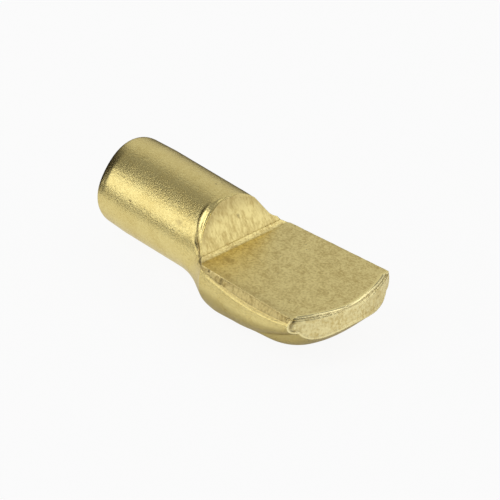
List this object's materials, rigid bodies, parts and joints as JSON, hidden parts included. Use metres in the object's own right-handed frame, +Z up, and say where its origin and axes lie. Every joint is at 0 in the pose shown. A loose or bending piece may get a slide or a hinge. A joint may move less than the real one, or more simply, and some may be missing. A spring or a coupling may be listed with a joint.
{
  "type": "shelf support pin",
  "caption": "Brass spoon-style shelf support pin: a round shank for a cabinet hole and a flat coined pad with a leaning shoulder and an upswept underside, in one piece.",
  "frame": {"origin": "on the pin's axis at the shank's root, the plane that the face of the cabinet side reaches", "axes": "+X along the pin's axis from the shank's tip towards the pad's front, +Z up out of the pad's flat, +Y across the pad"},
  "size_m": [0.0218, 0.0092, 0.0065],
  "materials": {
    "brass": "tumbled satin"
  },
  "bodies": {
    "root": {"support_pin": "brass"}
  },
  "joints": []
}
